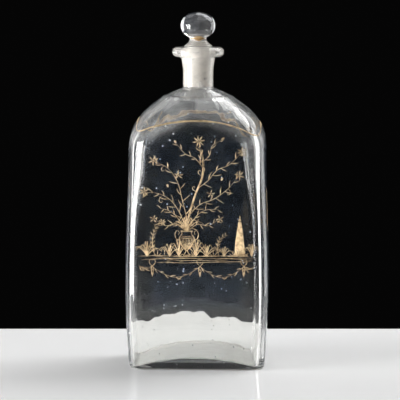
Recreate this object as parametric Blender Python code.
"""Mould-blown glass flask with a ground ball stopper.

Metres, +Z up. The origin is the centre of the footprint, on the surface that the flask
stands on. The broad decorated face looks along -Y.
"""

import math

import bmesh
import bpy

# Body of the flask, measured over the glass
BASE_WIDTH = 0.1025
BASE_DEPTH = 0.0760
BELLY_WIDTH = 0.1084
BELLY_DEPTH = 0.0788
BELLY_HEIGHT = 0.063
SHOULDER_WIDTH = 0.1040
SHOULDER_DEPTH = 0.0765
SHOULDER_HEIGHT = 0.165
HEEL_RADIUS = 0.0020

# Upright corners of the body: of one radius up to where they start to grow, softer at the top
FOOT_CORNER_RADIUS = 0.0115
TOP_CORNER_RADIUS = 0.0185
CORNER_GROWTH_HEIGHT = 0.105
CORNER_GROWTH_LENGTH = 0.073

# Wall of the body and the hollow inside it
WALL = 0.0038
INNER_CORNER_SHRINK = 0.0050
INNER_HEEL_RADIUS = 0.0010

# Base: a flat rim round a slight push-up, under a floor that is thick in the middle and thin
# in the corners, as blowing into a box mould leaves it
RIM_WIDTH = 0.0045
KICK_HEIGHT = 0.0002
FLOOR_CREST_HEIGHT = 0.0090
FLOOR_HEIGHT_AT_FACES = 0.0080
FLOOR_HEIGHT_AT_SIDES = 0.0018

# Shoulder: how far it drops for each unit that it reaches out, how its curve leaves the neck
# and turns down into the wall, and the faint line where the mould's parts met
SHOULDER_SLOPE_SHARE = 1.06
SHOULDER_NECK_SHARE = 1.09
SHOULDER_WALL_SHARE = 2.30
MOULD_LINE_HEIGHT = 0.0004

# Ground socket in the neck, which the stopper's plug fills
SOCKET_MOUTH_RADIUS = 0.0088
SOCKET_END_RADIUS = 0.0075
MOUTH_ROUNDING = 0.0006
THROAT_RISE = 0.0007
THROAT_DROP = 0.0015

# Neck and lip, round the socket
NECK_FOOT_HEIGHT = 0.2116
NECK_LENGTH = 0.0238
NECK_FOOT_WALL = 0.0040
NECK_TOP_WALL = 0.0043
NECK_FOOT_FILLET = 0.0012
NECK_STRAIGHT_SHARE = 0.52
NECK_FLARE_SHARE = 1.6
LIP_THICKNESS = 0.0074
LIP_REACH = 0.0067
LIP_FILLET = 0.0008

# Stopper
SEAT_GAP = 0.0003
PLUG_END_GAP = 0.0003
PLUG_END_BEVEL = 0.0009
COLLAR_OVERHANG = 0.0019
COLLAR_ROUNDING = 0.0006
COLLAR_HEIGHT = 0.0058
COLLAR_FLARE_SHARE = 1.7
WAIST_RADIUS = 0.00645
WAIST_LENGTH = 0.0017
BALL_RADIUS = 0.01335
BALL_HALF_HEIGHT = 0.0102

# Sizes that follow from those above
BODY_WIDTHS = (BASE_WIDTH, BELLY_WIDTH, SHOULDER_WIDTH)
BODY_DEPTHS = (BASE_DEPTH, BELLY_DEPTH, SHOULDER_DEPTH)
NECK_FOOT_RADIUS = SOCKET_END_RADIUS + NECK_FOOT_WALL
NECK_TOP_RADIUS = SOCKET_MOUTH_RADIUS + NECK_TOP_WALL
LIP_RADIUS = NECK_TOP_RADIUS + LIP_REACH
LIP_TOP_HEIGHT = NECK_FOOT_HEIGHT + NECK_LENGTH + LIP_THICKNESS
SOCKET_LENGTH = NECK_LENGTH + LIP_THICKNESS - THROAT_RISE
PLUG_LENGTH = SOCKET_LENGTH - PLUG_END_GAP
COLLAR_RADIUS = SOCKET_MOUTH_RADIUS + COLLAR_OVERHANG

# Facets
SIDE_STEPS = 3
CORNER_STEPS = 4
FACE_STEPS = 4
RIBS = 4 * (SIDE_STEPS + CORNER_STEPS + FACE_STEPS)
WALL_STEPS = 8
SHOULDER_SWEEPS = (84, 76, 66, 56, 46, 38, 34, 30, 24, 17, 10, 5)
MOULD_LINE_SWEEP = 34
INNER_SWEEPS = (80, 68, 54, 40, 28, 17, 8)
HEEL_SWEEPS = (0, 30, 60, 90)
BASE_SHARES = (0.85, 0.64, 0.42, 0.20)
LIP_SWEEPS = (-90, -60, -30, 0, 30, 60, 90)
NECK_STEPS = 4
STOPPER_STEPS = 40
BALL_STEPS = 15
COLLAR_STEPS = 5
MERGE_DISTANCE = 0.00001

# Glass
GLASS_COLOUR = (0.93, 0.95, 0.93, 1.0)
GLASS_IOR = 1.52
BODY_ROUGHNESS = 0.02
STOPPER_ROUGHNESS = 0.03


def clear_scene():
    for obj in list(bpy.data.objects):
        bpy.data.objects.remove(obj)


def glass(name, roughness):
    """Colourless soda glass with a faint green-grey cast."""
    material = bpy.data.materials.new(name)
    material.use_nodes = True
    shader = material.node_tree.nodes["Principled BSDF"]
    shader.inputs["Base Color"].default_value = GLASS_COLOUR
    shader.inputs["Roughness"].default_value = roughness
    shader.inputs["Metallic"].default_value = 0.0
    shader.inputs["IOR"].default_value = GLASS_IOR
    shader.inputs["Transmission Weight"].default_value = 1.0
    return material


def mix(start, end, share):
    return start + (end - start) * share


def swell(height, sizes):
    """Width or depth of the body at a height: it fills out to the belly and eases in above it."""
    at_base, at_belly, at_shoulder = sizes
    if height < BELLY_HEIGHT:
        return mix(at_base, at_belly, 1 - (1 - height / BELLY_HEIGHT) ** 2)
    share = min(1, (height - BELLY_HEIGHT) / (SHOULDER_HEIGHT - BELLY_HEIGHT))
    return mix(at_belly, at_shoulder, share * share * (3 - 2 * share))


def outline(half_width, half_depth, corner):
    """One plan point for each rib, round a rectangle with round corners, from +X towards +Y."""
    middle_x = half_width - corner
    middle_y = half_depth - corner
    quarter = [(half_width, middle_y * n / SIDE_STEPS) for n in range(SIDE_STEPS)]
    for n in range(CORNER_STEPS):
        turn = math.radians(90 * n / CORNER_STEPS)
        quarter.append((middle_x + corner * math.cos(turn), middle_y + corner * math.sin(turn)))
    quarter += [(middle_x * (1 - n / FACE_STEPS), half_depth) for n in range(FACE_STEPS + 1)]
    back = [(-x, y) for x, y in reversed(quarter)]
    half = quarter[:-1] + back[:-1]
    return half + [(-x, -y) for x, y in half]


def corner_radius(height):
    """Radius of the body's upright corners, which grows smoothly over the upper walls."""
    share = min(1, max(0, (height - CORNER_GROWTH_HEIGHT) / CORNER_GROWTH_LENGTH))
    return mix(FOOT_CORNER_RADIUS, TOP_CORNER_RADIUS, share * share * (3 - 2 * share))


def wall_ring(inset, shrink, heights):
    """Each rib's point on the body's outline at that rib's own height.

    The outline is moved in by inset, and its corners' radius is smaller by shrink than outside.
    """
    ring = []
    for rib, height in enumerate(heights):
        half_width = swell(height, BODY_WIDTHS) / 2 - inset
        half_depth = swell(height, BODY_DEPTHS) / 2 - inset
        x, y = outline(half_width, half_depth, corner_radius(height) - shrink)[rib]
        ring.append((x, y, height))
    return ring


def circle(radius, height):
    turns = [math.tau * rib / RIBS for rib in range(RIBS)]
    return [(radius * math.cos(t), radius * math.sin(t), height) for t in turns]


def out_shares(x, y, inset):
    """How far out a plan point lies, across and along the base, as shares of its half sizes."""
    return abs(x) / (BASE_WIDTH / 2 - inset), abs(y) / (BASE_DEPTH / 2 - inset)


def kick_height(x, y):
    """Height of the underside over a plan point: a pillow that fades out at the rim."""
    across, along = out_shares(x, y, HEEL_RADIUS + RIM_WIDTH)
    return KICK_HEIGHT * max(0, 1 - across**2) * max(0, 1 - along**2)


def floor_height(x, y):
    """Height of the inner floor over a plan point: it falls a little to the faces, more to the sides."""
    across, along = out_shares(x, y, WALL)
    fall_to_sides = (FLOOR_CREST_HEIGHT - FLOOR_HEIGHT_AT_SIDES) * across**2
    fall_to_faces = (FLOOR_CREST_HEIGHT - FLOOR_HEIGHT_AT_FACES) * along**2
    return FLOOR_CREST_HEIGHT - fall_to_sides - fall_to_faces


def heights_between(low, high, steps):
    """Lists of heights, one for each rib, from low to high with both ends."""
    return [[mix(a, b, n / steps) for a, b in zip(low, high)] for n in range(steps + 1)]


def shoulder_foot(top_height, top_radius, inset, shrink):
    """Height at which each rib leaves the flat wall: the further it lies from the neck, the lower."""
    wall = wall_ring(inset, shrink, [SHOULDER_HEIGHT] * RIBS)
    reaches = [
        math.dist(point[:2], neck[:2]) for point, neck in zip(wall, circle(top_radius, top_height))
    ]
    return [top_height - SHOULDER_SLOPE_SHARE * reach for reach in reaches]


def shoulder_rings(wall_top, neck_foot, sweeps, raised_sweep=None):
    """Rings from the wall's top to the neck's foot, along a full curve that is upright at the wall."""
    rings = []
    for degrees in sweeps:
        sweep = math.radians(degrees)
        out = math.sin(sweep) ** (2 / SHOULDER_NECK_SHARE)
        down = 1 - math.cos(sweep) ** (2 / SHOULDER_WALL_SHARE)
        lift = MOULD_LINE_HEIGHT if degrees == raised_sweep else 0
        rings.append(
            [
                (mix(n[0], w[0], out), mix(n[1], w[1], out), mix(n[2], w[2], down) + lift)
                for w, n in zip(wall_top, neck_foot)
            ]
        )
    return rings


def underside_rings():
    """Rings of the push-up from near the centre out to the flat rim, then round the heel."""
    rim_inset = HEEL_RADIUS + RIM_WIDTH
    rim = wall_ring(rim_inset, rim_inset, [0] * RIBS)
    rings = []
    for share in reversed(BASE_SHARES):
        plan = [(x * share, y * share) for x, y, _ in rim]
        rings.append([(x, y, kick_height(x, y)) for x, y in plan])
    rings.append(rim)
    for degrees in reversed(HEEL_SWEEPS):
        turn = math.radians(degrees)
        inset = HEEL_RADIUS * (1 - math.cos(turn))
        ring = wall_ring(inset, inset, [0] * RIBS)
        rise = HEEL_RADIUS * (1 - math.sin(turn))
        rings.append([(x, y, rise) for x, y, _ in ring])
    return rings


def outer_rings():
    """The outside of the flask, from the heel up to the lip's top."""
    base = underside_rings()
    heel_top = [point[2] for point in base[-1]]
    foot_heights = shoulder_foot(NECK_FOOT_HEIGHT, NECK_FOOT_RADIUS, 0, 0)
    walls = [
        wall_ring(0, 0, heights)
        for heights in heights_between(heel_top, foot_heights, WALL_STEPS)[1:]
    ]
    neck_foot = circle(NECK_FOOT_RADIUS + NECK_FOOT_FILLET, NECK_FOOT_HEIGHT)
    shoulder = shoulder_rings(walls[-1], neck_foot, SHOULDER_SWEEPS, MOULD_LINE_SWEEP)
    return base + walls + shoulder + [neck_foot] + neck_rings() + lip_rings()


def neck_rings():
    """A short straight neck that flares under the lip."""
    flare_foot = NECK_FOOT_HEIGHT + NECK_LENGTH * NECK_STRAIGHT_SHARE
    flare_top = NECK_FOOT_HEIGHT + NECK_LENGTH - LIP_FILLET
    rings = [circle(NECK_FOOT_RADIUS, NECK_FOOT_HEIGHT + NECK_FOOT_FILLET)]
    for n in range(NECK_STEPS + 1):
        radius = mix(NECK_FOOT_RADIUS, NECK_TOP_RADIUS, (n / NECK_STEPS) ** NECK_FLARE_SHARE)
        rings.append(circle(radius, mix(flare_foot, flare_top, n / NECK_STEPS)))
    return rings


def lip_rings():
    """A flat disc with a full round edge."""
    rounding = LIP_THICKNESS / 2
    middle = LIP_TOP_HEIGHT - rounding
    rings = [circle(NECK_TOP_RADIUS + LIP_FILLET, LIP_TOP_HEIGHT - LIP_THICKNESS)]
    for degrees in LIP_SWEEPS:
        turn = math.radians(degrees)
        radius = LIP_RADIUS - rounding * (1 - math.cos(turn))
        rings.append(circle(radius, middle + rounding * math.sin(turn)))
    return rings


def inner_rings():
    """The hollow, from the mouth down through the ground socket to near the floor's centre."""
    throat_end = NECK_FOOT_HEIGHT - THROAT_DROP
    rings = [
        circle(SOCKET_MOUTH_RADIUS + MOUTH_ROUNDING, LIP_TOP_HEIGHT),
        circle(SOCKET_MOUTH_RADIUS, LIP_TOP_HEIGHT - MOUTH_ROUNDING),
        circle(SOCKET_END_RADIUS, LIP_TOP_HEIGHT - SOCKET_LENGTH),
    ]
    inner_foot = circle(SOCKET_END_RADIUS, throat_end)
    foot_heights = shoulder_foot(throat_end, SOCKET_END_RADIUS, WALL, INNER_CORNER_SHRINK)
    floor = wall_ring(WALL, INNER_CORNER_SHRINK, [0] * RIBS)
    floor_edge = [floor_height(x, y) + INNER_HEEL_RADIUS for x, y, _ in floor]
    walls = [
        wall_ring(WALL, INNER_CORNER_SHRINK, heights)
        for heights in heights_between(floor_edge, foot_heights, WALL_STEPS)
    ]
    shoulder = shoulder_rings(walls[-1], inner_foot, INNER_SWEEPS)
    rings += [inner_foot] + shoulder[::-1] + walls[::-1]
    for degrees in HEEL_SWEEPS[1:]:
        turn = math.radians(degrees)
        inset = WALL + INNER_HEEL_RADIUS * (1 - math.cos(turn))
        ring = wall_ring(inset, INNER_CORNER_SHRINK + inset - WALL, [0] * RIBS)
        fall = INNER_HEEL_RADIUS * math.sin(turn)
        rings.append([(x, y, z - fall) for (x, y, _), z in zip(ring, floor_edge)])
    edge = rings[-1]
    for share in BASE_SHARES:
        plan = [(x * share, y * share) for x, y, _ in edge]
        rings.append([(x, y, floor_height(x, y)) for x, y in plan])
    return rings


def lofted(name, rings, first_pole, last_pole, material):
    """One closed surface through a list of rings, ended by a point at each pole."""
    bm = bmesh.new()
    loops = [[bm.verts.new(point) for point in ring] for ring in rings]
    for low, high in zip(loops, loops[1:]):
        for rib in range(RIBS):
            after = (rib + 1) % RIBS
            bm.faces.new((low[rib], low[after], high[after], high[rib]))
    first = bm.verts.new(first_pole)
    last = bm.verts.new(last_pole)
    for rib in range(RIBS):
        after = (rib + 1) % RIBS
        bm.faces.new((loops[0][after], loops[0][rib], first))
        bm.faces.new((loops[-1][rib], loops[-1][after], last))
    bmesh.ops.recalc_face_normals(bm, faces=bm.faces)
    return finish_mesh(name, bm, material)


def finish_mesh(name, bm, material):
    mesh = bpy.data.meshes.new(name)
    bm.to_mesh(mesh)
    bm.free()
    mesh.shade_smooth()
    mesh.materials.append(material)
    obj = bpy.data.objects.new(name, mesh)
    bpy.context.scene.collection.objects.link(obj)
    return obj


def build_bottle(material):
    rings = outer_rings() + inner_rings()
    return lofted("bottle_body", rings, (0, 0, KICK_HEIGHT), (0, 0, FLOOR_CREST_HEIGHT), material)


def socket_radius(depth):
    """Radius of the ground socket at a depth below the lip's top."""
    return mix(SOCKET_MOUTH_RADIUS, SOCKET_END_RADIUS, depth / SOCKET_LENGTH)


def ball_points(waist_top):
    """The ball from its top round to where it meets the waist."""
    lowest = -math.acos(WAIST_RADIUS / BALL_RADIUS)
    centre = waist_top - BALL_HALF_HEIGHT * math.sin(lowest)
    points = [(0, centre + BALL_HALF_HEIGHT)]
    for n in range(1, BALL_STEPS + 1):
        turn = mix(math.pi / 2, lowest, n / BALL_STEPS)
        points.append((BALL_RADIUS * math.cos(turn), centre + BALL_HALF_HEIGHT * math.sin(turn)))
    return points


def stopper_profile():
    """Outline of the stopper from its top down to the plug's end, with heights from the lip's top."""
    points = ball_points(COLLAR_HEIGHT + WAIST_LENGTH)
    collar_top = SEAT_GAP + 2 * COLLAR_ROUNDING
    for n in range(COLLAR_STEPS + 1):
        flare = (n / COLLAR_STEPS) ** COLLAR_FLARE_SHARE
        radius = mix(WAIST_RADIUS, COLLAR_RADIUS - COLLAR_ROUNDING, flare)
        points.append((radius, mix(COLLAR_HEIGHT, collar_top, n / COLLAR_STEPS)))
    points.append((COLLAR_RADIUS, SEAT_GAP + COLLAR_ROUNDING))
    points.append((COLLAR_RADIUS - COLLAR_ROUNDING, SEAT_GAP))
    points.append((socket_radius(0) - SEAT_GAP, SEAT_GAP))
    bevel_depth = PLUG_LENGTH - PLUG_END_BEVEL
    points.append((socket_radius(bevel_depth) - SEAT_GAP, -bevel_depth))
    points.append((socket_radius(PLUG_LENGTH) - SEAT_GAP - PLUG_END_BEVEL, -PLUG_LENGTH))
    points.append((0, -PLUG_LENGTH))
    return points


def build_stopper(material):
    """The profile turned about Z; the object's origin lies on the axis, at the lip's top."""
    bm = bmesh.new()
    verts = [bm.verts.new((radius, 0, height)) for radius, height in stopper_profile()]
    for start, end in zip(verts, verts[1:]):
        bm.edges.new((start, end))
    stopper = finish_mesh("stopper", bm, material)
    turned = stopper.modifiers.new("turned", "SCREW")
    turned.axis = "Z"
    turned.steps = STOPPER_STEPS
    turned.render_steps = STOPPER_STEPS
    turned.use_merge_vertices = True
    turned.merge_threshold = MERGE_DISTANCE
    stopper.location = (0, 0, LIP_TOP_HEIGHT)
    return stopper


def main():
    clear_scene()
    build_bottle(glass("bottle_glass", BODY_ROUGHNESS))
    build_stopper(glass("stopper_glass", STOPPER_ROUGHNESS))


main()
